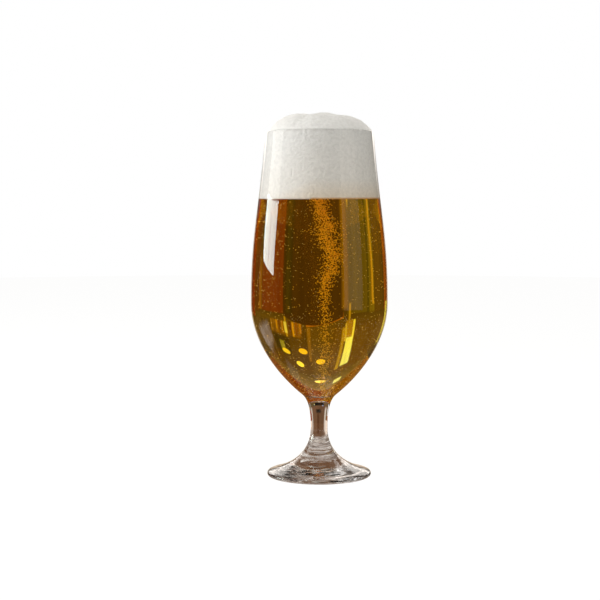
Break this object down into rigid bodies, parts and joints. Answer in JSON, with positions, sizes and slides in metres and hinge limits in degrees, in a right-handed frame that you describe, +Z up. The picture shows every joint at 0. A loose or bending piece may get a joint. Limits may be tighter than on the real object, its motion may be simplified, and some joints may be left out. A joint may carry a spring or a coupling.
{
  "type": "stemmed beer glass",
  "caption": "Stemmed tulip-shaped beer glass with a round foot, filled with amber beer under a domed head of foam.",
  "frame": {"origin": "centre of the foot, on the plane of the flat ring that the glass stands on", "axes": "+Z up along the stem; the glass is round, so X and Y are level and free"},
  "size_m": [0.078, 0.078, 0.2068],
  "materials": {
    "clear_glass": "gloss",
    "amber_beer": "gloss",
    "white_foam": "matte"
  },
  "bodies": {
    "root": {"glass": "clear_glass", "beer": "amber_beer", "foam_head": "white_foam"}
  },
  "joints": []
}
